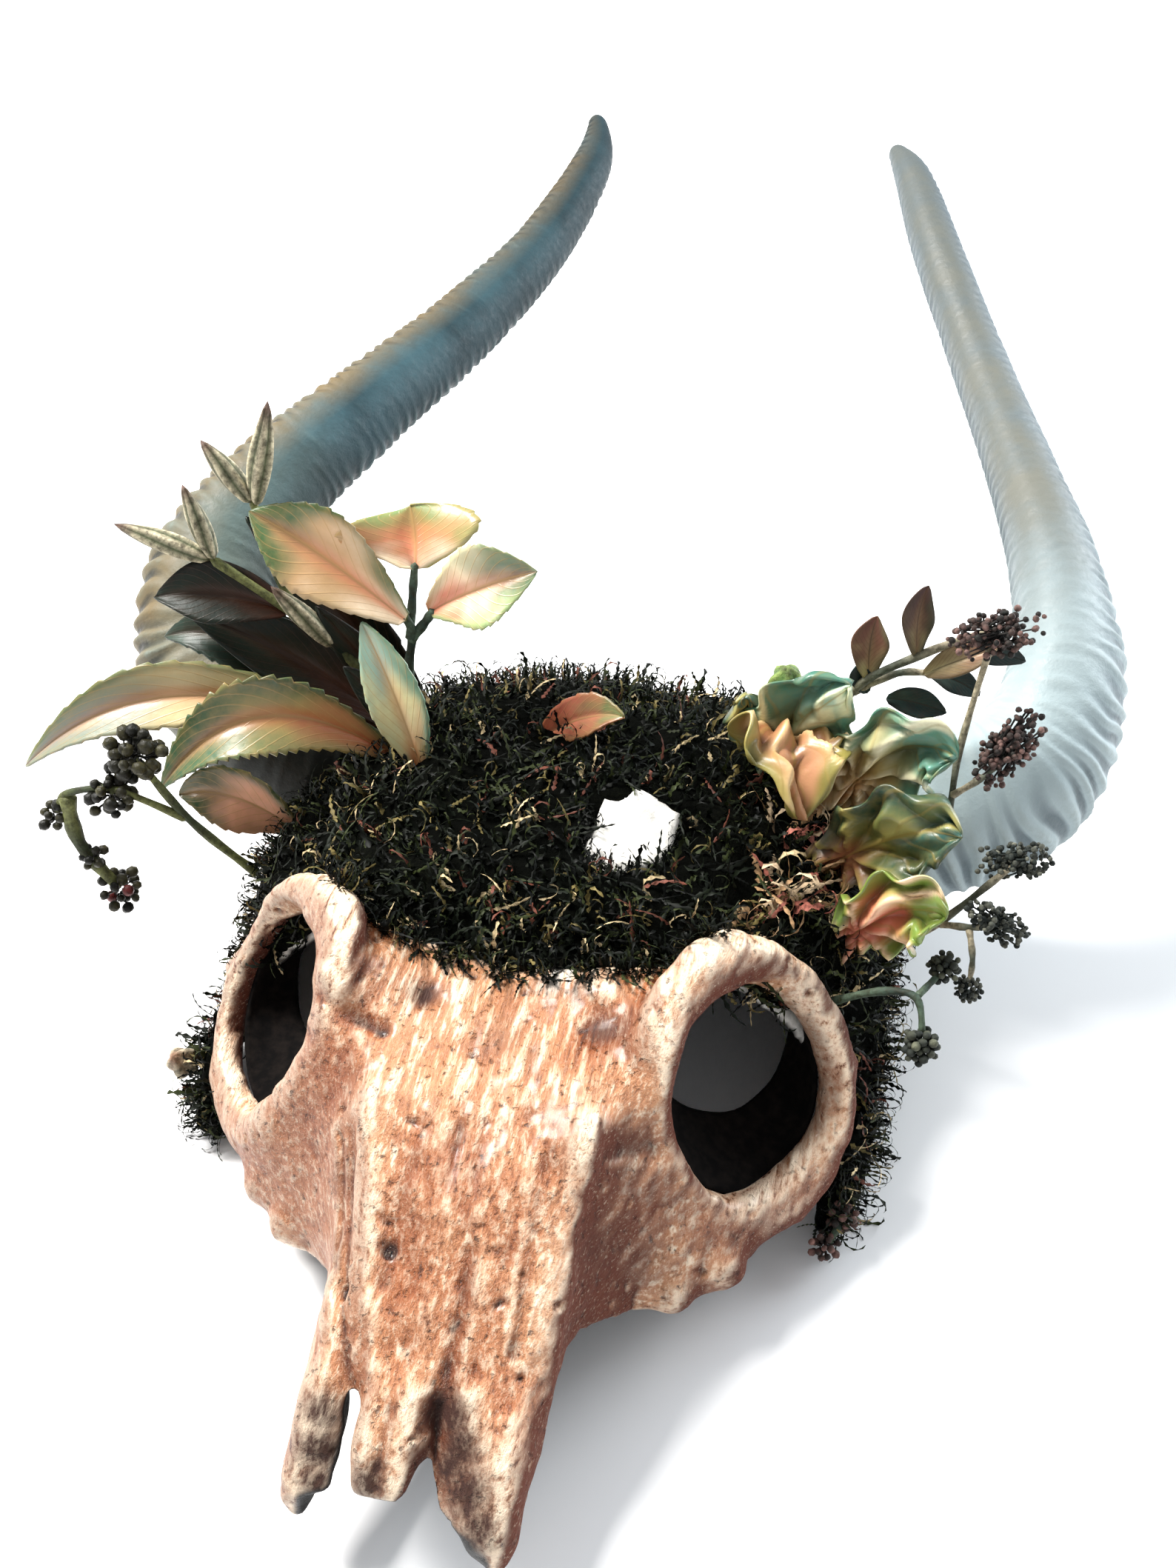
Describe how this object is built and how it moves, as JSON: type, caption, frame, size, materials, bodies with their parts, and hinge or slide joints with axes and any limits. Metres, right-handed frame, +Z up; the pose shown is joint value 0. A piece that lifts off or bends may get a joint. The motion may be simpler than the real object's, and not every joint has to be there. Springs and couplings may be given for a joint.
{
  "type": "horned skull headdress",
  "caption": "Costume headpiece with a hollow animal-skull mask on a moss-covered cap, curved ringed horns, and sprays of artificial leaves, buds, berries and seed heads.",
  "frame": {"origin": "on the table, under the middle of the whole piece's bounding box", "axes": "+Z up from the rim, -Y towards the snout, +Y along the horns, +X to the right as the snout is faced"},
  "size_m": [0.3374, 0.5702, 0.1862],
  "materials": {
    "bone": "painted cast bone, tan with cream high spots and brown recesses, light sheen",
    "cap_shell": "white, matt",
    "moss": "preserved moss, nearly black green with olive and tan curls",
    "horn": "ringed, slate blue-green with a brown outer edge, satin",
    "leaf_smooth": "coated artificial leaf, green edge to orange-pink middle",
    "leaf_dark": "dark green artificial leaf",
    "leaf_crinkled": "crinkled artificial leaf, green and pink",
    "dry_sprig": "dry olive-brown buds and berries",
    "seed_sprig": "dry grey-green seed heads"
  },
  "bodies": {
    "root": {"skull": "bone", "cap_base": "cap_shell", "moss_cover": "moss", "horn_left": "horn", "horn_right": "horn", "leaf_long_left": "leaf_smooth", "leaf_serrated_left": "leaf_smooth", "leaf_upright_left": "leaf_smooth", "leaf_dark_left": "leaf_dark", "leaf_dark_back": "leaf_dark", "leaf_pink_left": "leaf_smooth", "leaf_crown": "leaf_smooth", "leaf_crinkled_1": "leaf_crinkled", "leaf_crinkled_2": "leaf_crinkled", "leaf_crinkled_3": "leaf_crinkled", "leaf_crinkled_4": "leaf_crinkled", "three_leaf_stem": "leaf_smooth", "bud_sprig": "dry_sprig", "berry_sprig": "dry_sprig", "round_bud": "leaf_crinkled", "leafy_twig": "leaf_dark", "seed_sprig_upper": "seed_sprig", "seed_sprig_lower": "seed_sprig", "side_sprig": "seed_sprig", "low_seed_cluster": "seed_sprig", "side_pod": "dry_sprig"}
  },
  "joints": []
}
